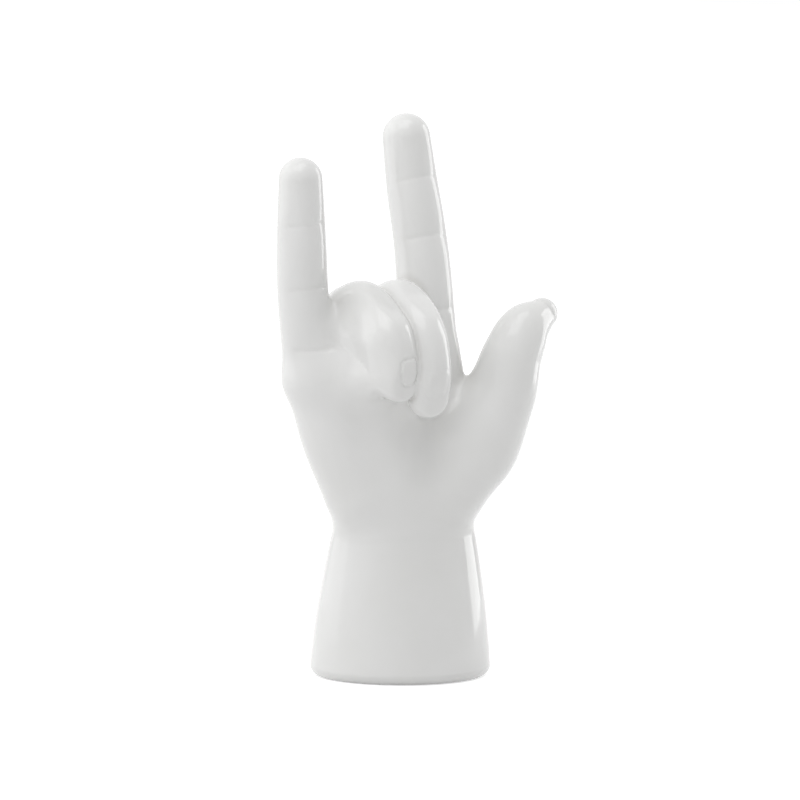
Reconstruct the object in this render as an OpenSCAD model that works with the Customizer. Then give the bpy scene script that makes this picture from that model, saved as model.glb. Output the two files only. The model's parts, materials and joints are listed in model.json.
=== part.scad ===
// Ceramic hand that stands on its forearm, index, little finger and thumb held out.
// Millimetres, +Z up, +X towards the thumb, the palm faces -Y, the foot rests on Z = 0.
// The skin is a smooth blend over round bones. Each bone joint under [Hidden] is
// [across, depth, height, half thickness].

/* [Forearm] */
// Half of the foot's width across the hand
foot_half_w = 40.8; // [38:0.1:44]
// Half of the foot's depth from palm side to back
foot_half_d = 31; // [29:0.5:34]
// How much narrower each side is at the wrist, across the hand
wrist_in_w = 8.7; // [7:0.1:10]
// How much narrower each side is at the wrist, palm side to back
wrist_in_d = 9.3; // [8:0.1:10]
// Height of the wrist crease above the foot
wrist_z = 65; // [62:0.5:68]
// Radius of the rounded edge of the foot
foot_edge_r = 5; // [4:0.5:6]

/* [Casting] */
// Thickness of the ceramic wall
wall = 5; // [4.5:0.25:6]
// Thickness of the plate that closes the foot
plate_t = 6; // [5:0.5:8]
// Diameter of the vent hole in the plate
vent_d = 12; // [8:0.5:16]

/* [Fingers] */
// How far the hand leans over its foot towards the little finger, in degrees
lean = 2.5; // [1.5:0.25:3.5]
// How full the palm, the fingers and the thumb are, 1 as made
fullness = 1; // [0.97:0.01:1.03]

/* [Seams] */
// Height of the index finger's seam above the palm
index_seam_z = 153; // [151:0.5:155]
// Height of the little finger's seam above the palm
little_seam_z = 140; // [138:0.5:142]
// Where the seam under the folded fingers meets the back of the hand
fold_seam_z = 150.5; // [149:0.5:152]
// Slope of the seam under the folded fingers, in degrees
fold_seam_slope = 41; // [40:0.5:42]

/* [Mesh] */
// Size of the facets of the skin
facet = 3; // [2.9:0.1:4]

/* [Hidden] */
glaze = "white";
bisque = "linen";

// A joint of the hand, turned with the hand as it leans over its foot
function joint(x, y, z, r) =
    [x * cos(lean) - z * sin(lean), y, z * cos(lean) + x * sin(lean), r * fullness];
function row(list) = [for (j = list) joint(j[0], j[1], j[2], j[3])];

// Outer edge of the palm: heel, middle of the edge, knuckle of the little finger
EDGE_ROW = row([[-22.8, -4, 82, 14.2], [-35.2, -4, 110, 13.6], [-43.6, -4, 131, 10.8]]);
PALM = [
    // From the heel to the knuckles of the ring, middle and index fingers
    row([[-11.6, -3, 80.6, 15.5], [-25.5, -4, 142, 13.5]]),
    row([[1.4, -3, 79, 16.5], [-7, -4, 143, 14]]),
    row([[13, -2, 81, 16], [12.6, -1, 138, 11.4]]),
    // Ball of the thumb, web beside it, hollow of the palm
    row([[13.5, -6, 82, 16.5], [25.7, -12, 97, 17]]),
    row([[18, -4, 108, 12], [29, -9, 103, 12.5]]),
    row([[-5.5, -7, 86, 13.5], [-14, -8, 122, 12.5]]),
    // Flesh between the knuckles of the little and ring fingers
    row([[-37, -3, 130, 11], [-34.5, -2, 154, 8.5]])
];
// From the wrist along the ball to the tip that bends outwards
THUMB = row([
    [21, -8, 86, 16], [32, -14, 103, 16.2], [40, -17, 121, 14.8], [45, -17.5, 138, 12.8],
    [51.8, -16, 148.6, 10.9], [61.6, -13, 154.2, 6.8]
]);
// From inside the palm over the two finger joints to the tip
INDEX = row([
    [14.6, 0, 134, 12], [12.8, 1, 161, 12], [11.7, 4, 187, 11.5], [9.6, 7, 208.6, 11.1],
    [7.6, 9, 230.6, 10.2]
]);
LITTLE = row([
    [-43.8, -3.5, 132, 11.2], [-45.8, -3.2, 147, 10.7], [-48.4, -5, 172, 10.8],
    [-50.4, -8, 198.8, 10.1], [-51.1, -9, 216.8, 9.2]
]);
// From the knuckle over the top and round the bend to the tip on the palm
RING = row([
    [-23, 2, 158, 11.5], [-22.8, -10, 161.6, 11], [-20.6, -34, 149, 8.8], [-18.7, -37.5, 136.5, 8],
    [-18, -36, 131.5, 7.6]
]);
MIDDLE = row([
    [-4.5, 3, 157.5, 11.5], [-5, -10, 161, 11.2], [-5, -34, 148, 9.4], [-4.4, -36.5, 132, 9],
    [-3.8, -34, 124.5, 8.6]
]);
// Flesh that fills the inside of the two folded fingers
RING_FILL = row([
    [-25.5, -4, 153, 11], [-22.2, -31, 149, 9.6], [-21.2, -30.5, 137, 9.2], [-27.5, -7, 130, 12]
]);
MIDDLE_FILL = row([[-8, -6, 150, 11.5], [-5.5, -22, 145, 10.5], [-2.5, -22, 130, 9.5]]);

// Blend radii of the skin, from soft flesh to a crease
blend_palm = 11;
blend_thumb = 12;
blend_wrist = 8;
blend_fill = 12;
blend_finger = 6;
blend_bend = 7;
blend_crease = 2.5;

// Position of a bone joint without its half thickness
function xyz(j) = [j[0], j[1], j[2]];

// Distance from point p to the skin of one bone
function bone(p, u, v) =
    let (a = xyz(u), ab = xyz(v) - a, ap = p - a, t = max(0, min(1, ap * ab / (ab * ab))))
    norm(ap - t * ab) - u[3] - t * (v[3] - u[3]);

// Smaller of two distances, rounded where they are within k of each other
function soft(a, b, k) = let (h = max(k - abs(a - b), 0)) min(a, b) - h * h / k / 4;

// Distance to the skin of a flat pad with three corners
function pad(p, u, v, w) =
    let (
        a = xyz(u), e = xyz(v) - a, f = xyz(w) - a, ap = p - a,
        ee = e * e, ef = e * f, ff = f * f, qe = ap * e, qf = ap * f, det = ee * ff - ef * ef,
        s = (qe * ff - qf * ef) / det, t = (qf * ee - qe * ef) / det
    )
    s >= 0 && t >= 0 && s + t <= 1
        ? norm(ap - s * e - t * f) - u[3] - s * (v[3] - u[3]) - t * (w[3] - u[3])
        : min(bone(p, u, v), bone(p, v, w), bone(p, w, u));

// Blend of a list of bones, onto the distance d
function flesh(p, list, k, d, i = 0) =
    i == len(list) ? d : flesh(p, list, k, soft(d, bone(p, list[i][0], list[i][1]), k), i + 1);

// Cubic pieces of the smooth line through a row of joints, each [a, b, c, d]
function curve(row) =
    let (
        n = len(row) - 1,
        h = [for (i = [0:n - 1]) norm(xyz(row[i + 1]) - xyz(row[i]))],
        s = [for (i = [0:n - 1]) (row[i + 1] - row[i]) / h[i]],
        v = [
            for (i = [0:n])
                i == 0 ? s[0] : i == n ? s[n - 1]
                    : (s[i - 1] * h[i] + s[i] * h[i - 1]) / (h[i - 1] + h[i])
        ]
    ) [
        for (i = [0:n - 1])
            let (d = row[i + 1] - row[i], a = v[i] * h[i], b = v[i + 1] * h[i])
            [a + b - 2 * d, 3 * d - 2 * a - b, a, row[i]]
    ];

// A limb is a row of joints, its smooth line and the ball that holds it
function mean(v) = [for (a = v) 1] * v / len(v);
function ball(row) =
    let (c = mean([for (j = row) xyz(j)])) [c, max([for (j = row) norm(xyz(j) - c) + j[3]])];
function limb(row) = [row, curve(row), ball(row)];

// Nearest point of the straight line through the joints, as piece number and share of it
function nearest(p, row) =
    let (
        list = [
            for (i = [0:len(row) - 2])
                let (
                    a = row[i], b = row[i + 1], e = xyz(b) - xyz(a), q = p - xyz(a),
                    t = max(0, min(1, q * e / (e * e)))
                ) [norm(q - t * e) - a[3] - t * (b[3] - a[3]), i + t]
        ],
        m = min([for (l = list) l[0]])
    ) [for (l = list) if (l[0] == m) l[1]][0];
// One step along the smooth line towards its point nearest to p
function slide(p, c, u) =
    let (
        i = min(floor(u), len(c) - 1), t = u - i, k = c[i],
        q = ((k[0] * t + k[1]) * t + k[2]) * t + k[3], v = xyz((3 * k[0] * t + 2 * k[1]) * t + k[2]),
        e = p - xyz(q), s = v * v,
        step = e * v / max(s - e * xyz(6 * k[0] * t + 2 * k[1]), 0.4 * s)
    ) max(0, min(len(c), u + max(-0.5, min(0.5, step))));
// Distance to the skin of a limb. Well outside its ball, where it can't touch any blend,
// the distance to the ball will do.
function round_limb(p, l) =
    let (d = norm(p - l[2][0]) - l[2][1])
    d > 14 ? d :
        let (
            u = slide(p, l[1], slide(p, l[1], nearest(p, l[0]))),
            i = min(floor(u), len(l[1]) - 1), t = u - i, k = l[1][i],
            q = ((k[0] * t + k[1]) * t + k[2]) * t + k[3]
        ) norm(p - xyz(q)) - q[3];
// Distance to the flesh inside a folded finger
function ring_fill(p) =
    let (d = norm(p - RING_BALL[0]) - RING_BALL[1])
    d > 14 ? d :
        min(
            pad(p, RING_FILL[0], RING_FILL[1], RING_FILL[2]),
            pad(p, RING_FILL[0], RING_FILL[2], RING_FILL[3])
        );

THUMB_LIMB = limb(THUMB);
INDEX_LIMB = limb(INDEX);
LITTLE_LIMB = limb(LITTLE);
RING_LIMB = limb(RING);
MIDDLE_LIMB = limb(MIDDLE);
MIDDLE_FILL_LIMB = limb(MIDDLE_FILL);
EDGE_LIMB = limb(EDGE_ROW);
RING_BALL = ball(RING_FILL);
PALM_BALL = ball(concat(EDGE_ROW, [for (b = PALM) each b]));

// Half width and half depth of the forearm at height z
function slim(z) = pow(max(z, 0) / 64, 1.5);
function arm_w(z) = foot_half_w - wrist_in_w * slim(z);
function arm_d(z) = foot_half_d - wrist_in_d * slim(z);
function arm_x(z) = (0.03 - tan(lean)) * z;

// Distance to the skin of the forearm, closed above inside the palm
function arm(p) =
    let (
        x = p[0] - arm_x(p[2]), w = arm_w(p[2]), d = arm_d(p[2]),
        k0 = norm([x / w, p[1] / d]), k1 = norm([x / w / w, p[1] / d / d]),
        side = k0 * (k0 - 1) / max(k1, 0.000001)
    ) -soft(-side, -(p[2] - wrist_z - 13), 12);

// The palm, with the same short cut, and with the forearm and the thumb
function heel(p) =
    let (d = norm(p - PALM_BALL[0]) - PALM_BALL[1])
    d > 14 ? d : flesh(p, PALM, blend_palm, round_limb(p, EDGE_LIMB));
function trunk(p) =
    soft(soft(heel(p), arm(p), blend_wrist), round_limb(p, THUMB_LIMB), blend_thumb);

// The whole hand, shared by all pieces so that the skin runs on across every seam
function hand(p) =
    let (
        fill = ring_fill(p),
        a = soft(trunk(p), min(fill, round_limb(p, MIDDLE_FILL_LIMB)), blend_fill),
        b = soft(a, round_limb(p, INDEX_LIMB), blend_finger),
        c = soft(b, round_limb(p, LITTLE_LIMB), blend_finger),
        ring = soft(round_limb(p, RING_LIMB), fill, blend_bend)
    ) soft(c, soft(ring, round_limb(p, MIDDLE_LIMB), 1.2), blend_crease);
// The hollow inside leaves the wall all round
function core(p) = soft(heel(p), arm(p), blend_wrist) + wall;

// Distance to a box, which closes the skin beyond a piece's seams
function in_box(p, lo, hi) =
    max(lo[0] - p[0], p[0] - hi[0], lo[1] - p[1], p[1] - hi[1], lo[2] - p[2], p[2] - hi[2]);

// The eight corners of a cell and its twelve edges as pairs of corners
CORNER = [[0, 0, 0], [1, 0, 0], [0, 1, 0], [1, 1, 0], [0, 0, 1], [1, 0, 1], [0, 1, 1], [1, 1, 1]];
EDGE = [[0, 1], [2, 3], [4, 5], [6, 7], [0, 2], [1, 3], [4, 6], [5, 7], [0, 4], [1, 5], [2, 6], [3, 7]];

// Skin of the field f between lo and hi: one point in each cell of a cube grid that the skin
// crosses, drawn onto the skin, and a four-cornered patch over each crossed grid edge
module skin(f, lo, hi) {
    s = facet;
    n = [for (i = [0:2]) ceil(hi[i] / s) - floor(lo[i] / s) + 3];
    o = [for (i = [0:2]) s * (floor(lo[i] / s) - 1)];
    g = function (p) max(f(p), in_box(p, lo, hi));
    row = n[0];
    slab = n[0] * n[1];
    val = [for (k = [0:n[2] - 1], j = [0:n[1] - 1], i = [0:n[0] - 1]) g(o + s * [i, j, k])];
    step = [for (c = CORNER) c[0] + c[1] * row + c[2] * slab];
    total = len(val);
    cell = [
        for (k = [0:n[2] - 1], j = [0:n[1] - 1], i = [0:n[0] - 1])
            let (at = i + j * row + k * slab)
            i == n[0] - 1 || j == n[1] - 1 || k == n[2] - 1 ? 0 :
                let (m = [for (t = step) if (val[at + t] < 0) 1])
                len(m) == 0 || len(m) == 8 ? 0 : 1
    ];
    id = [for (c = 0, q = 0; c < total; q = q + cell[c], c = c + 1) q];
    raw = [
        for (k = [0:n[2] - 2], j = [0:n[1] - 2], i = [0:n[0] - 2])
            let (at = i + j * row + k * slab)
            if (cell[at] == 1)
                let (
                    w = [for (t = step) val[at + t]],
                    cut = [
                        for (e = EDGE)
                            if ((w[e[0]] < 0) != (w[e[1]] < 0))
                                let (r = w[e[0]] / (w[e[0]] - w[e[1]]))
                                CORNER[e[0]] + r * (CORNER[e[1]] - CORNER[e[0]])
                    ]
                ) o + s * ([i, j, k] + mean(cut))
    ];
    pts = [for (p = raw) settle(g, settle(g, p))];
    patch = [
        for (k = [1:n[2] - 2], j = [1:n[1] - 2], i = [1:n[0] - 2])
            let (at = i + j * row + k * slab, in = val[at] < 0)
            each [
                if (in != (val[at + 1] < 0)) quad(id, at, row, slab, in),
                if (in != (val[at + row] < 0)) quad(id, at, slab, 1, in),
                if (in != (val[at + slab] < 0)) quad(id, at, 1, row, in)
            ]
    ];
    polyhedron(pts, [for (q = patch) each halves(pts, q)]);
}
// The four cells round a grid edge, turned so that the patch faces outwards
function quad(id, at, u, v, in) =
    let (q = [id[at], id[at - u], id[at - u - v], id[at - v]]) in ? [q[3], q[2], q[1], q[0]] : q;
// A patch as two triangles along its shorter diagonal
function halves(p, q) =
    norm(p[q[0]] - p[q[2]]) < norm(p[q[1]] - p[q[3]])
        ? [[q[0], q[1], q[2]], [q[0], q[2], q[3]]]
        : [[q[0], q[1], q[3]], [q[1], q[2], q[3]]];
// Move a point along the slope of the field onto the skin
function settle(g, p) =
    let (
        d = g(p), e = 0.2,
        u = [g(p + [e, 0, 0]) - d, g(p + [0, e, 0]) - d, g(p + [0, 0, e]) - d] / e,
        m = max(u * u, 0.25)
    ) p - u * max(-1, min(1, d)) / m;

// Space on the side of a plane that its normal points to
module beyond(p, normal)
    translate(p)
        rotate([0, acos(normal[2] / norm(normal)), atan2(normal[1], normal[0])])
            translate([-400, -400, 0])
                cube([800, 800, 400]);

index_dir = xyz(INDEX[2]) - xyz(INDEX[0]);
little_dir = xyz(LITTLE[2]) - xyz(LITTLE[0]);
thumb_dir = xyz(THUMB[3]) - xyz(THUMB[2]);
fold_at = [0, 16, fold_seam_z];
fold_dir = [0, -sin(fold_seam_slope), cos(fold_seam_slope)];
// The seam between the ring and middle fingers runs midway between them
split_at = xyz(RING[0] + MIDDLE[0]) / 2;
split_bend = xyz(RING[2] + MIDDLE[2]) / 2;
split_nail = xyz(RING[3] + MIDDLE[3]) / 2;
split_dir = cross(split_bend - split_at, split_nail - split_at);
// Seams on the outer sides of the two folded fingers
little_side = (LITTLE[1][0] + LITTLE[1][3] + RING[0][0] - RING[0][3]) / 2;
index_side = (INDEX[1][0] - INDEX[1][3] + MIDDLE[1][0] + MIDDLE[1][3]) / 2;
index_side_at = [index_side, 0, INDEX[1][2]];
index_side_dir = [1, 0, 0.12];
// Lowest point of the web between index finger and thumb
web_at = xyz(joint(31.5, -6, 130, 0));

// Spaces that the pieces above the palm fill, none of them overlapping
module index_space() {
    intersection() {
        beyond([INDEX[1][0], INDEX[1][1], index_seam_z], index_dir);
        beyond(index_side_at, index_side_dir);
        beyond(web_at, [-1, 0, 0]);
    }
}
module little_space() {
    intersection() {
        beyond([LITTLE[1][0], LITTLE[1][1], little_seam_z], little_dir);
        beyond([little_side, 0, 0], [-1, 0, 0]);
    }
}
module thumb_space() {
    intersection() {
        beyond(web_at, thumb_dir);
        beyond(web_at, [1, 0, 0]);
    }
}
module fold_space() {
    intersection() {
        beyond(fold_at, fold_dir);
        beyond([little_side, 0, 0], [1, 0, 0]);
        beyond(index_side_at, -index_side_dir);
    }
}

// One closed mesh of what it holds
module cast() resize([0, 0, 0]) children();

// Points of the ring where the field f ends at height z, cast outwards from the axis
ring_n = 56;
function edge_of(f, z, q, t = 12, i = 0) =
    i == 12 ? t : let (p = [arm_x(z), 0, z] + t * q) edge_of(f, z, q, t - f(p), i + 1);
function outline(f, z) = [
    for (i = [0:ring_n - 1])
        let (
            w = 360 * i / ring_n,
            v = [arm_w(z) * cos(w), arm_d(z) * sin(w), 0],
            q = v / norm(v)
        ) [arm_x(z), 0, z] + edge_of(f, z, q) * q
];
// Outline of the foot plate, moved in from the foot's widest outline
plate_in = foot_edge_r + 3;
function plate_edge(z) = [
    for (i = [0:ring_n - 1])
        let (w = 360 * i / ring_n)
        [(foot_half_w - plate_in) * cos(w), (foot_half_d - plate_in) * sin(w), z]
];
// Outer rings of the forearm: the rounded foot edge, then up to the wrist
foot_rings = [
    for (u = [0, 22, 45, 68])
        let (drop = foot_edge_r * (1 - sin(u)), z = foot_edge_r * (1 - cos(u)))
        [
            for (i = [0:ring_n - 1])
                let (w = 360 * i / ring_n)
                [(arm_w(z) - drop) * cos(w) + arm_x(z), (arm_d(z) - drop) * sin(w), z]
        ]
];
arm_levels = 11;
arm_rings = [
    for (i = [0:arm_levels])
        outline(function (p) trunk(p), foot_edge_r + (wrist_z - foot_edge_r) * i / arm_levels)
];
bore_levels = 7;
bore_rings = [
    for (i = [bore_levels:-1:0])
        outline(function (p) core(p), plate_t + (wrist_z - plate_t) * i / bore_levels)
];

module forearm() {
    rings = concat(foot_rings, arm_rings, bore_rings, [plate_edge(plate_t), plate_edge(0)]);
    m = len(rings);
    color(glaze)
        polyhedron(
            [for (r = rings) each r],
            [
                for (k = [0:m - 1], i = [0:ring_n - 1])
                    let (
                        j = (i + 1) % ring_n, a = k * ring_n, b = (k + 1) % m * ring_n,
                        q = [a + i, b + i, b + j, a + j]
                    )
                    each [[q[0], q[1], q[2]], [q[0], q[2], q[3]]]
            ]
        );
}

module foot_plate() {
    color(bisque)
        difference() {
            linear_extrude(plate_t)
                polygon([for (p = plate_edge(0)) [p[0], p[1]]]);
            translate([0, 0, -1])
                cylinder(d = vent_d, h = plate_t + 2, $fn = 48);
        }
}

module palm() {
    color(glaze)
        cast()
            difference() {
                skin(function (p) hand(p), [-68, -38, wrist_z - 4], [60, 18, 162]);
                skin(function (p) core(p), [-66, -24, wrist_z - 8], [48, 18, 160]);
                beyond([0, 0, wrist_z], [0, 0, -1]);
                index_space();
                little_space();
                thumb_space();
                fold_space();
            }
}

module thumb() {
    color(glaze)
        cast()
            intersection() {
                skin(function (p) hand(p), [18, -38, 112], [68, 4, 170]);
                thumb_space();
            }
}

module index_finger() {
    color(glaze)
        cast()
            intersection() {
                skin(function (p) hand(p), [-18, -16, 146], [28, 24, 246]);
                index_space();
            }
}

module little_finger() {
    color(glaze)
        cast()
            intersection() {
                skin(function (p) hand(p), [-74, -22, 132], [-36, 12, 230]);
                little_space();
            }
}

module ring_finger() {
    color(glaze)
        cast()
            intersection() {
                skin(function (p) hand(p), [-50, -50, 104], [-12, 18, 178]);
                fold_space();
                beyond(split_at, -split_dir);
            }
}

module middle_finger() {
    color(glaze)
        cast()
            intersection() {
                skin(function (p) hand(p), [-28, -50, 104], [8, 18, 178]);
                fold_space();
                beyond(split_at, split_dir);
            }
}

forearm();
palm();
thumb();
index_finger();
middle_finger();
ring_finger();
little_finger();
foot_plate();
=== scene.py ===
import json
import math

import bmesh
import bpy
import numpy as np
from mathutils import Matrix, Vector

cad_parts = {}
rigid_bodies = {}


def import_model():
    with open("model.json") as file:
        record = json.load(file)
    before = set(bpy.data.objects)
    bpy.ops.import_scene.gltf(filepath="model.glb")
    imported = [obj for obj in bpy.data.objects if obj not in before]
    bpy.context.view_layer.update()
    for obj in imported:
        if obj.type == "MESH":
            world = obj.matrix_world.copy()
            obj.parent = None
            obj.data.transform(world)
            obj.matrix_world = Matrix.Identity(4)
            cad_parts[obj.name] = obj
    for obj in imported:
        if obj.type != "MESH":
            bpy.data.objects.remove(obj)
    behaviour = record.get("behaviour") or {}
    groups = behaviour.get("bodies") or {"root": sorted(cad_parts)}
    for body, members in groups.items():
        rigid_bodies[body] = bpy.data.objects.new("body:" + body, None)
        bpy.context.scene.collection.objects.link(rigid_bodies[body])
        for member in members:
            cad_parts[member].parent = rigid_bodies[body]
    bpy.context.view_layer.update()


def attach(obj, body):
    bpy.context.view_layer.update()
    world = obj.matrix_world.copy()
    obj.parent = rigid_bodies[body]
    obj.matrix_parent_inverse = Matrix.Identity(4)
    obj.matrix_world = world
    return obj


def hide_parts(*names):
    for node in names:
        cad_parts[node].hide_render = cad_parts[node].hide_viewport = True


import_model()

# Sizes of the hand in millimetres, the same as its solids have
LEAN = math.radians(2.5)
FOOT_W, FOOT_D, FOOT_R = 40.8, 31.0, 5.0
WRIST_IN_W, WRIST_IN_D, WRIST_Z = 8.7, 9.3, 65.0
FLARE_H, FLARE_POWER = 64, 1.5
ARM_SHIFT, ARM_RISE, ARM_TOP_BLEND = 0.03, 13, 12
WALL, PLATE_T, VENT_R = 5.0, 6.0, 6.0
INDEX_SEAM_Z, LITTLE_SEAM_Z = 153, 140
FOLD_SEAM_Y, FOLD_SEAM_Z, FOLD_SEAM_SLOPE = 16, 150.5, math.radians(41)
SIDE_SEAM_TILT = 0.12
BLEND_PALM, BLEND_WRIST, BLEND_THUMB, BLEND_FILL = 11, 8, 12, 12
BLEND_FINGER, BLEND_BEND, BLEND_CREASE, BLEND_PAIR, BLEND_FLAT = 6, 7, 2.5, 1.2, 1.6


# Joints of the hand
def row(*joints):
    """Joints [across, depth, height, half thickness], turned with the hand as it leans."""
    c, s = math.cos(LEAN), math.sin(LEAN)
    return [np.array([x * c - z * s, y, z * c + x * s, r]) for x, y, z, r in joints]


EDGE = row((-22.8, -4, 82, 14.2), (-35.2, -4, 110, 13.6), (-43.6, -4, 131, 10.8))
PALM = [
    # from the heel to the knuckles of the ring, middle and index fingers
    row((-11.6, -3, 80.6, 15.5), (-25.5, -4, 142, 13.5)),
    row((1.4, -3, 79, 16.5), (-7, -4, 143, 14)),
    row((13, -2, 81, 16), (12.6, -1, 138, 11.4)),
    # ball of the thumb, web beside it, hollow of the palm
    row((13.5, -6, 82, 16.5), (25.7, -12, 97, 17)),
    row((18, -4, 108, 12), (29, -9, 103, 12.5)),
    row((-5.5, -7, 86, 13.5), (-14, -8, 122, 12.5)),
    # flesh between the knuckles of the little and ring fingers
    row((-37, -3, 130, 11), (-34.5, -2, 154, 8.5)),
]
THUMB = row((21, -8, 86, 16), (32, -14, 103, 16.2), (40, -17, 121, 14.8), (45, -17.5, 138, 12.8),
            (51.8, -16, 148.6, 10.9), (61.6, -13, 154.2, 6.8))
INDEX = row((14.6, 0, 134, 12), (12.8, 1, 161, 12), (11.7, 4, 187, 11.5), (9.6, 7, 208.6, 11.1),
            (7.6, 9, 230.6, 10.2))
LITTLE = row((-43.8, -3.5, 132, 11.2), (-45.8, -3.2, 147, 10.7), (-48.4, -5, 172, 10.8),
             (-50.4, -8, 198.8, 10.1), (-51.1, -9, 216.8, 9.2))
RING = row((-23, 2, 158, 11.5), (-22.8, -10, 161.6, 11), (-20.6, -34, 149, 8.8),
           (-18.7, -37.5, 136.5, 8), (-18, -36, 131.5, 7.6))
MIDDLE = row((-4.5, 3, 157.5, 11.5), (-5, -10, 161, 11.2), (-5, -34, 148, 9.4),
             (-4.4, -36.5, 132, 9), (-3.8, -34, 124.5, 8.6))
RING_FILL = row((-25.5, -4, 153, 11), (-22.2, -31, 149, 9.6), (-21.2, -30.5, 137, 9.2),
                (-27.5, -7, 130, 12))
MIDDLE_FILL = row((-8, -6, 150, 11.5), (-5.5, -22, 145, 10.5), (-2.5, -22, 130, 9.5))
# where the seams of the index finger and the thumb meet
WEB = row((31.5, -6, 130, 0))[0][:3]


# Skin of the hand as a field: the distance to it, below zero inside
def dot(a, b):
    return np.einsum("ij,ij->i", a, b)


def unit(v):
    return np.asarray(v, float) / np.linalg.norm(v)


def ramp(x, lo, hi):
    """Smooth step from 0 at lo to 1 at hi."""
    t = np.clip((x - lo) / (hi - lo), 0, 1)
    return t * t * (3 - 2 * t)


def bell(x, width):
    """1 at 0, and near 0 further off than twice the width."""
    return np.exp(-((x / width) ** 2))


def soft(a, b, k):
    """Union of two fields with a fillet of size k."""
    h = np.maximum(k - np.abs(a - b), 0)
    return np.minimum(a, b) - h * h / k / 4


def bone(p, u, v):
    """Distance to a round bar between two joints."""
    ab = v[:3] - u[:3]
    ap = p - u[:3]
    t = np.clip(ap @ ab / (ab @ ab), 0, 1)
    ap = ap - t[:, None] * ab
    return np.sqrt(dot(ap, ap)) - u[3] - t * (v[3] - u[3])


def pad(p, u, v, w):
    """Distance to the skin of a flat pad with three corners."""
    e, f, ap = v[:3] - u[:3], w[:3] - u[:3], p - u[:3]
    ee, ef, ff, qe, qf = e @ e, e @ f, f @ f, ap @ e, ap @ f
    det = ee * ff - ef * ef
    s, t = (qe * ff - qf * ef) / det, (qf * ee - qe * ef) / det
    off = ap - s[:, None] * e - t[:, None] * f
    flat = np.sqrt(dot(off, off)) - u[3] - s * (v[3] - u[3]) - t * (w[3] - u[3])
    rim = np.minimum(np.minimum(bone(p, u, v), bone(p, v, w)), bone(p, w, u))
    return np.where((s >= 0) & (t >= 0) & (s + t <= 1), flat, rim)


CURVES = {}


def curve(joints):
    """Cubic pieces of the smooth line through a row of joints."""
    if id(joints) not in CURVES:
        p = np.array(joints)
        h = np.linalg.norm(np.diff(p[:, :3], axis=0), axis=1)[:, None]
        s = np.diff(p, axis=0) / h
        v = np.vstack([s[:1], (s[:-1] * h[1:] + s[1:] * h[:-1]) / (h[:-1] + h[1:]), s[-1:]])
        d, a, b = np.diff(p, axis=0), v[:-1] * h, v[1:] * h
        CURVES[id(joints)] = np.stack([a + b - 2 * d, 3 * d - 2 * a - b, a, p[:-1]], 1)
    return CURVES[id(joints)]


def limb(p, joints):
    """Distance to the skin round the smooth line through the joints: the nearest place on the
    straight bars first, then two Newton steps along the curve."""
    c = curve(joints)
    n = len(c)
    best, u = np.full(len(p), 1e9), np.zeros(len(p))
    for i, (a, b) in enumerate(zip(joints[:-1], joints[1:])):
        ab, q = b[:3] - a[:3], p - a[:3]
        t = np.clip(q @ ab / (ab @ ab), 0, 1)
        q = q - t[:, None] * ab
        d = np.sqrt(dot(q, q)) - a[3] - t * (b[3] - a[3])
        u = np.where(d < best, i + t, u)
        best = np.minimum(best, d)
    for last in (False, False, True):
        i = np.minimum(u.astype(int), n - 1)
        t, k = (u - i)[:, None], c[i]
        q = ((k[:, 0] * t + k[:, 1]) * t + k[:, 2]) * t + k[:, 3]
        e = p - q[:, :3]
        if last:
            return np.sqrt(dot(e, e)) - q[:, 3]
        v = ((3 * k[:, 0] * t + 2 * k[:, 1]) * t + k[:, 2])[:, :3]
        w = (6 * k[:, 0] * t + 2 * k[:, 1])[:, :3]
        s = dot(v, v)
        step = dot(e, v) / np.maximum(s - dot(e, w), 0.4 * s)
        u = np.clip(u + np.clip(step, -0.5, 0.5), 0, n)


def arm(p):
    """The forearm: an oval that narrows from the foot to the wrist."""
    s = np.power(np.maximum(p[:, 2], 0) / FLARE_H, FLARE_POWER)
    w, d = FOOT_W - WRIST_IN_W * s, FOOT_D - WRIST_IN_D * s
    x, y = p[:, 0] - (ARM_SHIFT - math.tan(LEAN)) * p[:, 2], p[:, 1]
    k0 = np.sqrt((x / w) ** 2 + (y / d) ** 2)
    k1 = np.sqrt((x / w / w) ** 2 + (y / d / d) ** 2)
    side = -k0 * (k0 - 1) / np.maximum(k1, 1e-6)
    return -soft(side, WRIST_Z + ARM_RISE - p[:, 2], ARM_TOP_BLEND)


def heel(p):
    """The palm from its outer edge to the ball of the thumb."""
    d = limb(p, EDGE)
    for u, v in PALM:
        d = soft(d, bone(p, u, v), BLEND_PALM)
    return d


# The folded fingers are flat on top, and flat below the bend where their tips turn down.
# Each flat is the direction that it faces and how far it lies under the furthest point.
TOP_FLAT = (0.2, -0.45, 0.87), 1.7
TIP_FLAT = (0.15, -0.93, -0.34), 1.9


LINE_STEPS = 9


def pressed(d, p, joints, out, cut):
    """The field of a limb, flattened by a plane that cuts its furthest point off."""
    out = unit(out)
    t, c = np.linspace(0, 1, LINE_STEPS)[:, None, None], curve(joints)
    line = ((c[:, 0] * t + c[:, 1]) * t + c[:, 2]) * t + c[:, 3]
    reach = (line[..., :3] @ out + line[..., 3]).max() - cut
    return -soft(-d, reach - p @ out, BLEND_FLAT)


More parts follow.
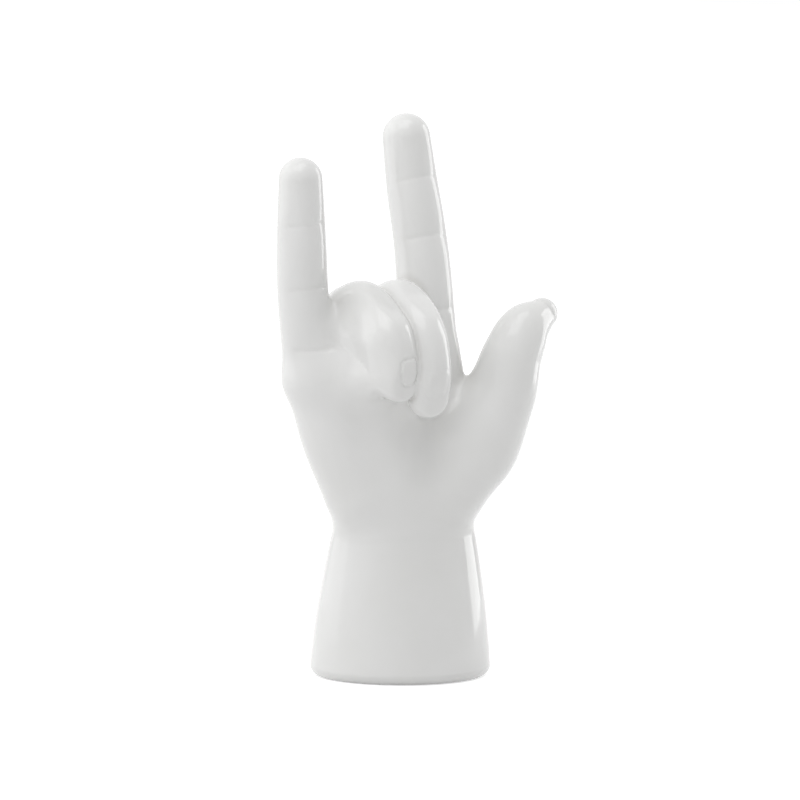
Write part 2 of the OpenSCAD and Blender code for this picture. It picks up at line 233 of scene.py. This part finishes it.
def hand(p):
    """The whole hand, before the marks on it and the edge at its foot."""
    fill = np.minimum(pad(p, *RING_FILL[:3]), pad(p, RING_FILL[0], RING_FILL[2], RING_FILL[3]))
    d = soft(soft(heel(p), arm(p), BLEND_WRIST), limb(p, THUMB), BLEND_THUMB)
    d = soft(d, np.minimum(fill, limb(p, MIDDLE_FILL)), BLEND_FILL)
    d = soft(soft(d, limb(p, INDEX), BLEND_FINGER), limb(p, LITTLE), BLEND_FINGER)
    ring, middle = soft(limb(p, RING), fill, BLEND_BEND), limb(p, MIDDLE)
    for out, cut in TOP_FLAT, TIP_FLAT:
        ring, middle = pressed(ring, p, RING, out, cut), pressed(middle, p, MIDDLE, out, cut)
    return soft(d, soft(ring, middle, BLEND_PAIR), BLEND_CREASE)


def core(p):
    """What the casting leaves empty in the palm and the forearm."""
    return soft(heel(p), arm(p), BLEND_WRIST) + WALL


# Marks of the sculptor, each the distance that it sinks the skin
FRONT = np.array([0, -1.0, 0])
BACK = np.array([0, 1.0, 0])
NAIL_CORNER, NAIL_LIFT, NAIL_SLOPE, GROOVE_W = 2.6, 0.2, (0.3, 2.2), 0.55
# Where marks fade out: towards a finger's side and past its skin, in half thicknesses from its
# middle, and across it, in half widths of the mark
SIDE_FADE, PAST_FADE, ACROSS_FADE, NAIL_SIDE_FADE = (0.1, 0.65), (1.5, 2.2), (0.7, 1.15), (0.15, 0.5)


def crease(p, at, along, front, depth, width, bow=0.0, half=9.0, swell=0.0):
    """A fold line across a finger at a point, on the side that front points to, between pads
    that swell on both sides of it."""
    along = unit(along)
    front = unit(front - (front @ along) * along)
    side = np.cross(along, front)
    q = p - at[:3]
    s, f, a = q @ side, q @ front, q @ along
    a = a + bow * (s / half) ** 2 * 2
    on = ramp(f / at[3], *SIDE_FADE) * (1 - ramp(np.abs(s) / half, *ACROSS_FADE))
    on = on * (1 - ramp(f / at[3], *PAST_FADE))
    return on * (depth * bell(a, width) + swell * bell(a, 5 * width))


def nail(p, root, tip, out, long, half, groove):
    """A rim cut round a plate on the side that out points to. root is the middle of the nail's
    lower end, and tip gives its direction."""
    along = unit(tip[:3] - root[:3])
    out = unit(out - (out @ along) * along)
    side = np.cross(along, out)
    q = p - root[:3]
    s, v, f = q @ side, q @ along, q @ out
    arc = np.arctan2(s, np.maximum(f, 0.1)) * root[3]
    # a rounded rectangle in the plane of arc length and height
    c = np.stack([np.abs(arc) - half, np.abs(v - long / 2) - long / 2], 1) + NAIL_CORNER
    rim = np.linalg.norm(np.maximum(c, 0), axis=1) + np.minimum(c.max(1), 0) - NAIL_CORNER
    on = ramp(f / root[3], *NAIL_SIDE_FADE)
    return on * (groove * bell(rim, GROOVE_W) - NAIL_LIFT * ramp(-rim, *NAIL_SLOPE))


MARCH_FROM, MARCH_STEPS, MARCH_PART = 60.0, 60, 0.8


def back_point(x, z):
    """Point of the skin on the back of the hand, at a place across and a height, found by steps
    of most of the distance to the skin."""
    p = np.array([[x, MARCH_FROM, z]])
    for _ in range(MARCH_STEPS):
        p[0, 1] -= MARCH_PART * hand(p)[0]
    return np.append(p[0], 0)


CREASE_W = 1.15
CREASES = [
    # a joint on the crease, the finger, the joint that gives its direction,
    # depth, bow, half width, swell of the pads
    (row((12.8, 1.5, 157, 12))[0], INDEX, 1, 0.26, -0.5, 11, 0.5),
    (row((11.6, 4, 188.5, 11.5))[0], INDEX, 2, 0.3, 0.4, 10.5, 0.55),
    (row((9.4, 7, 213.5, 11))[0], INDEX, 3, 0.24, 0.4, 10, 0.45),
    (row((-45.6, -3.4, 145, 10.8))[0], LITTLE, 1, 0.36, -0.4, 10, 0.65),
    (row((-48.4, -5, 172, 10.8))[0], LITTLE, 2, 0.28, 0.4, 10, 0.5),
    (row((-50.4, -8, 199, 10.1))[0], LITTLE, 3, 0.24, 0.4, 9.5, 0.45),
]
# Three wrinkles over each knuckle of the straight fingers: finger, joint, half width
WRINKLED = (INDEX, 2, 8), (INDEX, 3, 7), (LITTLE, 2, 7.5), (LITTLE, 3, 6.5)
WRINKLE_STEP, WRINKLE_W, WRINKLE_DEPTH, WRINKLE_FADE, WRINKLE_BOW = 2.6, 0.75, 0.36, 0.1, 0.5
NAILS = [
    # lower end, direction, side it faces, length, half width, depth of its rim
    (row((-18.6, -37.2, 144, 8.3))[0], row((-17.4, -35.8, 131, 8))[0], (0.1, -1, 0), 12, 4.4, 0.45),
    (row((-4.6, -36.2, 139, 9.3))[0], row((-3.8, -34.5, 125, 9))[0], (0, -1, 0), 13, 5.6, 0.12),
    (row((8.3, 8.1, 220, 10.6))[0], INDEX[4], (0, 1, 0), 14, 6.3, 0.5),
    (row((-51, -8.5, 206.5, 9.7))[0], LITTLE[4], (0, 1, 0), 12.5, 5.4, 0.5),
    (row((49.6, -16.6, 145.5, 11.4))[0], THUMB[5], (0.35, 0.9, -0.35), 14, 5.6, 0.26),
]
# Tendons and the dips between the knuckles, places across and heights on the back of the hand
TENDONS = [
    [back_point(x, z) for x, z in line]
    for line in (
        ((-2, 92), (3, 112), (4, 132)), ((-5, 92), (-9, 116), (-12, 138)),
        ((-8, 92), (-20, 114), (-30, 136)), ((-12, 92), (-30, 112), (-44, 130)),
    )
]
DIPS = [back_point(x, z) for x, z in ((-2, 144), (-20, 146), (-38, 140))]
TENDON_RISE, TENDON_W = 0.75, 3.6
DIP_DEPTH, DIP_W = 1.1, math.sqrt(45)
# How far from its place each kind of mark can reach
CREASE_REACH, WRINKLE_REACH, NAIL_REACH, DIP_REACH = 26, 20, 30, 24


def near(p, at, reach):
    """Numbers of the points within reach of a place."""
    d = p - at[:3]
    return np.nonzero(dot(d, d) < reach * reach)[0]


def direction(line, i):
    """Direction of a finger at one of its joints, from the joint before to the one after."""
    return line[i + 1][:3] - line[i - 1][:3]


def marks(p):
    """How far all the marks together sink the skin."""
    d = np.zeros(len(p))
    for at, line, i, depth, bow, half, swell in CREASES:
        k = near(p, at, CREASE_REACH)
        d[k] += crease(p[k], at, direction(line, i), FRONT, depth, CREASE_W, bow, half, swell)
    for line, i, half in WRINKLED:
        along = direction(line, i)
        for j in (-1, 0, 1):
            at = line[i] + np.append(unit(along) * j * WRINKLE_STEP, 0)
            depth = WRINKLE_DEPTH - WRINKLE_FADE * abs(j)
            k = near(p, at, WRINKLE_REACH)
            d[k] += crease(p[k], at, along, BACK, depth, WRINKLE_W, WRINKLE_BOW * j, half)
    for root, tip, out, long, half, groove in NAILS:
        k = near(p, root, NAIL_REACH)
        d[k] += nail(p[k], root, tip, np.array(out, float), long, half, groove)
    for line in TENDONS:
        off = np.minimum(bone(p, line[0], line[1]), bone(p, line[1], line[2]))
        d -= TENDON_RISE * bell(off, TENDON_W)
    for at in DIPS:
        k = near(p, at, DIP_REACH)
        d[k] += DIP_DEPTH * bell(np.linalg.norm(p[k] - at[:3], axis=1), DIP_W)
    return d


def foot_cut(p, d):
    """The rounded edge at the foot, where the skin meets the plane it stands on."""
    a, b = d + FOOT_R, FOOT_R - p[:, 2]
    edge = np.sqrt(np.maximum(a, 0) ** 2 + np.maximum(b, 0) ** 2)
    return edge + np.minimum(np.maximum(a, b), 0) - FOOT_R


def skin(p):
    """The outside of the whole casting."""
    return foot_cut(p, hand(p) + marks(p))


def hollow(p):
    """The inside of the casting, above the plate in the foot."""
    return np.maximum(core(p), PLATE_T - p[:, 2])


def slope(f, p, e=0.15):
    """Gradient and value of a field."""
    d = f(p)
    g = np.empty_like(p)
    for i in range(3):
        q = p.copy()
        q[:, i] += e
        up = f(q)
        q[:, i] -= 2 * e
        g[:, i] = (up - f(q)) / (2 * e)
    return g, d


# Mesh of a field: a surface net on a cube grid
COARSE, COARSE_CELLS, COARSE_MM, CHUNK = 4, 1.75, 1.5, 400000


def sampled(f, lo, n, s):
    """Values of f on the grid: a coarse look first, then the fine grid only where the skin can be."""
    step = s * COARSE
    count = (n + COARSE - 1) // COARSE + 1
    axes = [lo[i] + step * np.arange(count[i]) for i in range(3)]
    val = f(np.stack(np.meshgrid(*axes, indexing="ij"), -1).reshape(-1, 3)).reshape(count)
    for axis in range(3):
        val = np.repeat(val, COARSE, axis)
    val = val[: n[0], : n[1], : n[2]].copy()
    want = np.abs(val) < step * COARSE_CELLS + COARSE_MM
    idx = np.argwhere(want)
    parts = [f(lo + s * idx[a:a + CHUNK]) for a in range(0, len(idx), CHUNK)]
    val[want] = np.concatenate(parts)
    return val


def crossing_points(val, n):
    """One point in each cell that the skin crosses, and the number of each cell's point."""
    inside = val < 0
    count = sum(
        inside[i:n[0] - 1 + i, j:n[1] - 1 + j, k:n[2] - 1 + k].astype(np.int8)
        for i in (0, 1) for j in (0, 1) for k in (0, 1)
    )
    cells = np.argwhere((count > 0) & (count < 8))
    ids = np.full(n - 1, -1, np.int64)
    ids[tuple(cells.T)] = np.arange(len(cells))
    total, m = np.zeros((len(cells), 3)), np.zeros(len(cells))
    for axis in range(3):
        o1, o2 = [i for i in range(3) if i != axis]
        for u in (0, 1):
            for v in (0, 1):
                a = cells.copy()
                a[:, o1] += u
                a[:, o2] += v
                b = a.copy()
                b[:, axis] += 1
                va, vb = val[tuple(a.T)], val[tuple(b.T)]
                x = (va < 0) != (vb < 0)
                q = a.astype(float)
                q[:, axis] += np.where(x, va / np.where(x, va - vb, 1), 0)
                total[x] += q[x]
                m[x] += 1
    return total / m[:, None], ids


def patches(inside, ids, n):
    """A four-cornered patch over each grid edge that the skin crosses."""
    quads = []
    for axis in range(3):
        o1, o2 = (axis + 1) % 3, (axis + 2) % 3
        before, after = [slice(None)] * 3, [slice(None)] * 3
        before[axis], after[axis] = slice(0, -1), slice(1, None)
        a, b = inside[tuple(before)], inside[tuple(after)]
        for turned, e in ((False, np.argwhere(a & ~b)), (True, np.argwhere(~a & b))):
            ends = e[:, [o1, o2]]
            e = e[np.all((ends > 0) & (ends < (n - 1)[[o1, o2]]), 1)]
            corners = []
            for du, dv in ((0, 0), (-1, 0), (-1, -1), (0, -1)):
                t = e.copy()
                t[:, o1] += du
                t[:, o2] += dv
                corners.append(ids[tuple(t.T)])
            q = np.stack(corners, 1)
            quads.append(q[:, ::-1] if turned else q)
    return np.concatenate(quads).tolist()


def nets(f, lo, hi, s, rounds=3):
    """Points and faces of f = 0 at pitch s, the points settled onto the skin."""
    lo, hi = np.floor(np.array(lo) / s) * s, np.array(hi, float)
    n = np.ceil((hi - lo) / s).astype(int) + 1
    val = sampled(f, lo, n, s)
    cells, ids = crossing_points(val, n)
    pts = lo + s * cells
    for _ in range(rounds):
        g, d = slope(f, pts)
        pts = pts - np.clip(d, -s, s)[:, None] * g / np.maximum((g * g).sum(1), 0.25)[:, None]
    return pts, patches(val < 0, ids, n)


def placed(name, me):
    """A new object in the scene with this data."""
    ob = bpy.data.objects.new(name, me)
    bpy.context.collection.objects.link(ob)
    return ob


def mesh_of(name, pts, faces):
    """An object made of points in millimetres and faces."""
    me = bpy.data.meshes.new(name)
    me.from_pydata((np.asarray(pts) / 1000).tolist(), [], faces)
    me.update()
    return placed(name, me)


SKIN_PITCH = 0.9
HOLLOW_PITCH = 2.0
SKIN_BOX = (-78, -54, -4), (68, 36, 248)
HOLLOW_BOX = (-66, -36, 2), (54, 36, 166)
whole = mesh_of("whole", *nets(skin, *SKIN_BOX, SKIN_PITCH))
inner = mesh_of("inner", *nets(hollow, *HOLLOW_BOX, HOLLOW_PITCH, 2))


# The pieces, cut at the seams
def boolean(ob, other, how):
    """Cuts an object with another one, and gives it back."""
    mod = ob.modifiers.new("cut", "BOOLEAN")
    mod.operation, mod.solver, mod.object = how, "MANIFOLD", other
    me = bpy.data.meshes.new_from_object(ob.evaluated_get(bpy.context.evaluated_depsgraph_get()))
    ob.modifiers.clear()
    old, ob.data = ob.data, me
    bpy.data.meshes.remove(old)
    return ob


def copy(ob, name):
    return placed(name, ob.data.copy())


HALF_SIZE = 0.8


def beyond(at, normal):
    """A half space as a large block, on the side of a plane that its normal points to."""
    me = bpy.data.meshes.new("half")
    bm = bmesh.new()
    bmesh.ops.create_cube(bm, size=HALF_SIZE)
    bmesh.ops.translate(bm, verts=bm.verts, vec=(0, 0, HALF_SIZE / 2))
    turn = Vector(normal).to_track_quat("Z", "Y").to_matrix().to_4x4()
    bmesh.ops.transform(bm, verts=bm.verts, matrix=Matrix.Translation(Vector(at) / 1000) @ turn)
    bm.to_mesh(me)
    bm.free()
    return placed("half", me)


def space(*halves):
    """What lies in all of some half spaces."""
    first = beyond(*halves[0])
    for h in halves[1:]:
        boolean(first, beyond(*h), "INTERSECT")
    return first


X = np.array([1.0, 0, 0])
index_at = np.array([INDEX[1][0], INDEX[1][1], INDEX_SEAM_Z])
index_side = (INDEX[1][0] - INDEX[1][3] + MIDDLE[1][0] + MIDDLE[1][3]) / 2
side_at, side_dir = np.array([index_side, 0, INDEX[1][2]]), np.array([1, 0, SIDE_SEAM_TILT])
little_at = np.array([LITTLE[1][0], LITTLE[1][1], LITTLE_SEAM_Z])
little_side = np.array([(LITTLE[1][0] + LITTLE[1][3] + RING[0][0] - RING[0][3]) / 2, 0, 0])
thumb_dir = THUMB[3][:3] - THUMB[2][:3]
fold_at = np.array([0, FOLD_SEAM_Y, FOLD_SEAM_Z])
fold_dir = np.array([0, -math.sin(FOLD_SEAM_SLOPE), math.cos(FOLD_SEAM_SLOPE)])
split_at = (RING[0][:3] + MIDDLE[0][:3]) / 2
split_dir = np.cross(
    (RING[2][:3] + MIDDLE[2][:3]) / 2 - split_at, (RING[3][:3] + MIDDLE[3][:3]) / 2 - split_at
)
wrist_at = np.array([0, 0, WRIST_Z])
FOLDED = (fold_at, fold_dir), (little_side, X), (side_at, -side_dir)
SPACES = {
    "index_finger": ((index_at, direction(INDEX, 1)), (side_at, side_dir), (WEB, -X)),
    "little_finger": ((little_at, direction(LITTLE, 1)), (little_side, -X)),
    "thumb": ((WEB, thumb_dir), (WEB, X)),
    "ring_finger": FOLDED + ((split_at, -split_dir),),
    "middle_finger": FOLDED + ((split_at, split_dir),),
}
pieces = {}
for name, halves in SPACES.items():
    pieces[name] = boolean(copy(whole, name), space(*halves), "INTERSECT")
palm = boolean(copy(whole, "palm"), inner, "DIFFERENCE")
forearm = boolean(copy(palm, "forearm"), beyond(wrist_at, (0, 0, -1)), "INTERSECT")
boolean(palm, beyond(wrist_at, (0, 0, 1)), "INTERSECT")
for halves in SPACES["index_finger"], SPACES["little_finger"], SPACES["thumb"], FOLDED:
    boolean(palm, space(*halves), "DIFFERENCE")
pieces["palm"], pieces["forearm"] = palm, forearm

# The plate in the foot, with a soft outer edge and a dished rim round its vent
LOOP_POINTS = 96
PLATE_IN = FOOT_R + 3
PLATE_W, PLATE_D = FOOT_W - PLATE_IN, FOOT_D - PLATE_IN
TOP_BEVEL, SOCKET_BELOW, SOCKET_ABOVE = 0.4, 3, 0.5
# How far in from the edge and how high, from the top down, then the same round the vent upwards
PLATE_EDGE = (0, PLATE_T - 0.1), (0, 0.6), (0.2, 0.18), (0.7, 0)
VENT_RIM = (
    (1.1, 0), (0.45, 0.15), (0.1, 0.6), (0, 1.3),
    (0, PLATE_T - 1.1), (0.3, PLATE_T - 0.3), (0.9, PLATE_T),
)


def ellipse(w, d, z):
    angles = [2 * math.pi * i / LOOP_POINTS for i in range(LOOP_POINTS)]
    return [(w * math.cos(a), d * math.sin(a), z) for a in angles]


def rings(name, loops):
    """A closed ring of loops, the last joined to the first."""
    n, m = len(loops[0]), len(loops)
    faces = [
        (k * n + i, k * n + (i + 1) % n, (k + 1) % m * n + (i + 1) % n, (k + 1) % m * n + i)
        for k in range(m) for i in range(n)
    ]
    return mesh_of(name, [p for loop in loops for p in loop], faces)


CROSS_RINGS = 0.25, 0.5, 0.75


def foot_plate():
    """The plate as one closed ring of loops, the edge first, then underneath to the vent."""
    loops = [ellipse(PLATE_W - off, PLATE_D - off, z) for off, z in PLATE_EDGE]
    off = PLATE_EDGE[-1][0]
    rim = VENT_R + VENT_RIM[0][0]
    for t in CROSS_RINGS:
        w, d = PLATE_W - off, PLATE_D - off
        loops.append(ellipse(w + t * (rim - w), d + t * (rim - d), 0.0))
    loops += [ellipse(VENT_R + off, VENT_R + off, z) for off, z in VENT_RIM]
    loops.append(ellipse(PLATE_W - TOP_BEVEL, PLATE_D - TOP_BEVEL, PLATE_T))
    ob = rings("foot_plate", loops)
    bm = bmesh.new()
    bm.from_mesh(ob.data)
    bmesh.ops.recalc_face_normals(bm, faces=bm.faces)
    bm.to_mesh(ob.data)
    bm.free()
    return ob


def plate_socket():
    """The space that the plate takes out of the forearm, a little longer both ways."""
    n = LOOP_POINTS
    pts = ellipse(PLATE_W, PLATE_D, -SOCKET_BELOW) + ellipse(PLATE_W, PLATE_D, PLATE_T + SOCKET_ABOVE)
    caps = [tuple(range(n))[::-1], tuple(range(n, 2 * n))]
    sides = [(i, (i + 1) % n, n + (i + 1) % n, n + i) for i in range(n)]
    return mesh_of("socket", pts, caps + sides)


plate = foot_plate()
socket = plate_socket()
boolean(forearm, socket, "DIFFERENCE")
for ob in [whole, inner, socket] + [o for o in bpy.data.objects if o.name.startswith("half")]:
    bpy.data.objects.remove(ob)

# Shading of the skin
# How far out from the skin the painted shade in folds looks for nearby skin
FOLD_SHADE_REACH = 3.0
# A corner is shaded by the field when it is this near the skin and its face looks the same way
ON_SKIN, SAME_WAY = 0.06, 0.35
PLATE_SHARP = math.radians(50)


def values(collection, name, size, kind=float):
    """One property of all the points, corners or faces of a mesh, as an array."""
    out = np.empty(size, kind)
    collection.foreach_get(name, out)
    return out


def finish_skin(ob):
    """Shades the skin by the slope of its field, so that no seam shows, and keeps how far each
    point lies in a fold, where the glaze is painted darker as shade."""
    me = ob.data
    n, m = len(me.vertices), len(me.polygons)
    p = values(me.vertices, "co", n * 3).reshape(-1, 3) * 1000
    g, d = slope(skin, p)
    g = g / np.maximum(np.linalg.norm(g, axis=1), 1e-6)[:, None]
    # Painted shade: how deep in a fold each point lies, to darken the glaze there
    pool = np.clip((FOLD_SHADE_REACH - skin(p + FOLD_SHADE_REACH * g)) / FOLD_SHADE_REACH, 0, 1)
    me.attributes.new("pool", "FLOAT", "POINT").data.foreach_set("value", pool)
    corner = values(me.loops, "vertex_index", len(me.loops), np.int32)
    normal = values(me.polygons, "normal", m * 3).reshape(-1, 3)
    face = np.repeat(np.arange(m), values(me.polygons, "loop_total", m, np.int32))
    on = (np.abs(d) < ON_SKIN)[corner] & (dot(g[corner], normal[face]) > SAME_WAY)
    flat = np.zeros(m, bool)
    np.logical_or.at(flat, face, ~on)
    use = np.where(flat[face][:, None], normal[face], g[corner])
    me.polygons.foreach_set("use_smooth", np.ones(m, bool))
    me.normals_split_custom_set(use.tolist())


for name, ob in pieces.items():
    ob.name = name + "_skin"
    ob.data.name = ob.name
    finish_skin(ob)
plate.name = plate.data.name = "foot_plate_bisque"
for poly in plate.data.polygons:
    poly.use_smooth = True
plate.data.set_sharp_from_angle(angle=PLATE_SHARP)


# Materials
WHITE = (1, 1, 1, 1)


class Nodes:
    """Short ways to add nodes to a tree and to join them."""

    def __init__(self, tree):
        self.tree = tree

    def add(self, kind, **inputs):
        """A node with its settings and inputs, both by name."""
        node = self.tree.nodes.new(kind)
        for k, v in inputs.items():
            if hasattr(node, k) and k not in node.inputs:
                setattr(node, k, v)
            else:
                self.put(node.inputs[k], v)
        return node

    def put(self, socket, v):
        """Links an input to another node's output, or gives it a value."""
        if isinstance(v, bpy.types.NodeSocket):
            self.tree.links.new(v, socket)
        else:
            socket.default_value = v

    def noise(self, scale, detail=2.0, rough=0.5):
        where = self.add("ShaderNodeTexCoord").outputs["Object"]
        return self.add("ShaderNodeTexNoise", Vector=where, Scale=scale, Detail=detail,
                        Roughness=rough).outputs["Fac"]

    def remap(self, v, a, b, lo, hi):
        """A value between a and b, moved to lie between lo and hi."""
        node = self.add("ShaderNodeMapRange")
        for i, x in enumerate((v, a, b, lo, hi)):
            self.put(node.inputs[i], x)
        return node.outputs["Result"]

    def larger(self, a, b):
        node = self.add("ShaderNodeMath", operation="MAXIMUM")
        self.put(node.inputs[0], a)
        self.put(node.inputs[1], b)
        return node.outputs[0]

    def mix(self, fac, a, b):
        """Mix of two colours, which this node takes at inputs 6 and 7 and gives at output 2."""
        node = self.add("ShaderNodeMix", data_type="RGBA")
        self.put(node.inputs[0], fac)
        self.put(node.inputs[6], a)
        self.put(node.inputs[7], b)
        return node.outputs[2]

    def bump(self, height, distance, strength=1.0, under=None):
        node = self.add("ShaderNodeBump", Height=height, Distance=distance, Strength=strength)
        if under is not None:
            self.put(node.inputs["Normal"], under)
        return node.outputs["Normal"]


def material(name):
    """A new material, its nodes, its shader and its output."""
    mat = bpy.data.materials.new(name)
    mat.use_nodes = True
    nodes = mat.node_tree.nodes
    return mat, Nodes(mat.node_tree), nodes["Principled BSDF"], nodes["Material Output"]


GLAZE_COOL, GLAZE_WARM = (0.79, 0.79, 0.778, 1), (0.815, 0.815, 0.808, 1)
# Painted shade: the darker glaze colour put in folds and creases
GLAZE_FOLD_SHADE = (0.72, 0.715, 0.70, 1)
BARE_DARK, BARE_PALE, BARE_SPECK = (0.77, 0.735, 0.68, 1), (0.82, 0.795, 0.745, 1), (0.6, 0.55, 0.48, 1)


def glaze():
    """Glossy white, painted darker in folds as shade, with a slight swell."""
    mat, m, bsdf, _ = material("glaze_white")
    pool = m.add("ShaderNodeAttribute", attribute_name="pool").outputs["Fac"]
    cloud = m.remap(m.noise(scale=28.0, detail=3.0, rough=0.55), 0.3, 0.7, 0.0, 1.0)
    body = m.mix(cloud, GLAZE_COOL, GLAZE_WARM)
    # Painted shade: the glaze is mixed towards the darker colour deep in folds
    fold_shaded = m.remap(pool, 0.12, 0.75, 0.0, 1.0)
    m.put(bsdf.inputs["Base Color"], m.mix(fold_shaded, body, GLAZE_FOLD_SHADE))
    m.put(bsdf.inputs["Roughness"], m.remap(m.noise(scale=160.0), 0.3, 0.7, 0.055, 0.1))
    m.put(bsdf.inputs["IOR"], 1.5)
    swell = m.bump(m.noise(scale=55.0, detail=1.0), distance=0.00035, strength=0.5)
    fine = m.noise(scale=700.0, detail=1.0)
    m.put(bsdf.inputs["Normal"], m.bump(fine, distance=0.00001, strength=0.5, under=swell))
    return mat


def bisque():
    """Matt and grainy, with a few darker specks."""
    mat, m, bsdf, _ = material("bisque_bare")
    grain = m.noise(scale=1600.0, detail=4.0, rough=0.6)
    cloud = m.remap(m.noise(scale=60.0, detail=3.0), 0.3, 0.7, 0.0, 1.0)
    base = m.mix(cloud, BARE_DARK, BARE_PALE)
    speck = m.remap(m.noise(scale=900.0, detail=1.0), 0.7, 0.76, 0.0, 0.6)
    m.put(bsdf.inputs["Base Color"], m.mix(speck, base, BARE_SPECK))
    m.put(bsdf.inputs["Roughness"], m.remap(grain, 0.2, 0.8, 0.8, 0.95))
    m.put(bsdf.inputs["Normal"], m.bump(grain, distance=0.00012, strength=0.8))
    return mat


GLAZE, BISQUE = glaze(), bisque()
for name, ob in pieces.items():
    ob.data.materials.clear()
    ob.data.materials.append(GLAZE)
    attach(ob, "root")
    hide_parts(name)
plate.data.materials.append(BISQUE)
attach(plate, "root")
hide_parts("foot_plate")

# Camera
AZ, EL, ROLL = math.radians(-27), math.radians(7), math.radians(-2.24)
VIEW_W, CAM_DIST, CAM_CLIP, SENSOR = 0.344, 2.4, 20, 36
# The photograph's scale, and how far above the middle of the foot the middle of the view lies
MM_PX, FOOT_DROP_PX = 0.43, 274


def towards(turn, rise):
    """Direction that is turned to the right of the front of the hand and raised."""
    return Vector((math.sin(turn) * math.cos(rise), -math.cos(turn) * math.cos(rise), math.sin(rise)))


def add_camera():
    """A long lens, as far round, above and rolled as in the photograph."""
    to_cam = towards(AZ, EL)
    level = Vector((math.cos(AZ), math.sin(AZ), 0))
    top = to_cam.cross(level)
    right = level * math.cos(ROLL) - top * math.sin(ROLL)
    up = top * math.cos(ROLL) + level * math.sin(ROLL)
    data = bpy.data.cameras.new("camera")
    data.sensor_width = SENSOR
    data.lens = SENSOR * CAM_DIST / VIEW_W
    data.clip_end = CAM_CLIP
    camera = placed("camera", data)
    turn = Matrix((right, up, to_cam)).transposed().to_4x4()
    aim = up * (FOOT_DROP_PX * MM_PX / 1000)
    camera.matrix_world = Matrix.Translation(aim + to_cam * CAM_DIST) @ turn
    bpy.context.scene.camera = camera


add_camera()

# Floor
FLOOR_RADIUS, FLOOR_POINTS = 6, 96
FLOOR_SEEN, FLOOR_BOUNCE, FLOOR_GLOW = 0.9, 0.8, 0.55


def pale_floor():
    """White to the camera and in reflections, with the shadow kept."""
    mat, m, bsdf, out = material("floor_pale")
    path = m.add("ShaderNodeLightPath").outputs
    m.put(bsdf.inputs["Roughness"], 0.9)
    m.put(bsdf.inputs["Specular IOR Level"], 0.0)
    m.put(bsdf.inputs["Base Color"], m.remap(path["Is Camera Ray"], 0, 1, FLOOR_BOUNCE, FLOOR_SEEN))
    seen = m.larger(path["Is Camera Ray"], path["Is Glossy Ray"])
    glow = m.add("ShaderNodeEmission", Color=WHITE, Strength=m.remap(seen, 0, 1, 0.0, FLOOR_GLOW))
    both = m.add("ShaderNodeAddShader")
    m.put(both.inputs[0], bsdf.outputs[0])
    m.put(both.inputs[1], glow.outputs[0])
    m.put(out.inputs["Surface"], both.outputs[0])
    return mat


def add_floor():
    me = bpy.data.meshes.new("floor")
    bm = bmesh.new()
    bmesh.ops.create_circle(bm, cap_ends=True, segments=FLOOR_POINTS, radius=FLOOR_RADIUS)
    bm.to_mesh(me)
    bm.free()
    floor = placed("floor", me)
    floor.data.materials.append(pale_floor())


add_floor()

# Room
DARK, LIGHT = 0.22, 0.89
LIGHT_TURN, LIGHT_RISE = math.radians(-65), math.radians(34)


def add_room():
    """White where it is seen or reflected, and for the matt part of the skin lighter on the left
    and above."""
    world = bpy.data.worlds.new("studio")
    world.use_nodes = True
    m = Nodes(world.node_tree)
    path = m.add("ShaderNodeLightPath").outputs
    seen = m.larger(path["Is Camera Ray"], path["Is Glossy Ray"])
    seen = m.larger(seen, path["Is Transmission Ray"])
    side = m.add("ShaderNodeVectorMath", operation="DOT_PRODUCT")
    m.put(side.inputs[0], m.add("ShaderNodeTexCoord").outputs["Generated"])
    m.put(side.inputs[1], towards(AZ + LIGHT_TURN, LIGHT_RISE))
    room = m.remap(side.outputs["Value"], -1.0, 1.0, DARK, LIGHT)
    back = world.node_tree.nodes["Background"]
    m.put(back.inputs["Strength"], m.remap(seen, 0.0, 1.0, room, 1.0))
    m.put(back.inputs["Color"], WHITE)
    bpy.context.scene.world = world
    bpy.context.scene.view_settings.view_transform = "Standard"


add_room()

# Lamps
# They all face the middle of the hand.
LAMP_AIM = Vector((0, 0, 0.12))


def lamp(name, turn, rise, dist, w, h, radiance):
    """A soft box, seen from the hand at angles to the right of the camera and above the floor.
    Its distance and size are in metres, and radiance is its brightness, white being 1."""
    to = towards(AZ + math.radians(turn), math.radians(rise))
    data = bpy.data.lights.new(name, "AREA")
    data.shape, data.size, data.size_y = "RECTANGLE", w, h
    data.energy = radiance * math.pi * w * h
    ob = placed(name, data)
    ob.location = LAMP_AIM + to * dist
    ob.rotation_euler = to.to_track_quat("Z", "Y").to_euler()


lamp("key", turn=-25, rise=62, dist=1.3, w=0.9, h=0.6, radiance=1.4)
lamp("left", turn=-95, rise=16, dist=1.1, w=1.3, h=1.2, radiance=0.65)
lamp("right", turn=121, rise=8, dist=0.9, w=0.4, h=1.0, radiance=2.3)
lamp("top", turn=20, rise=84, dist=1.0, w=0.5, h=0.4, radiance=1.5)

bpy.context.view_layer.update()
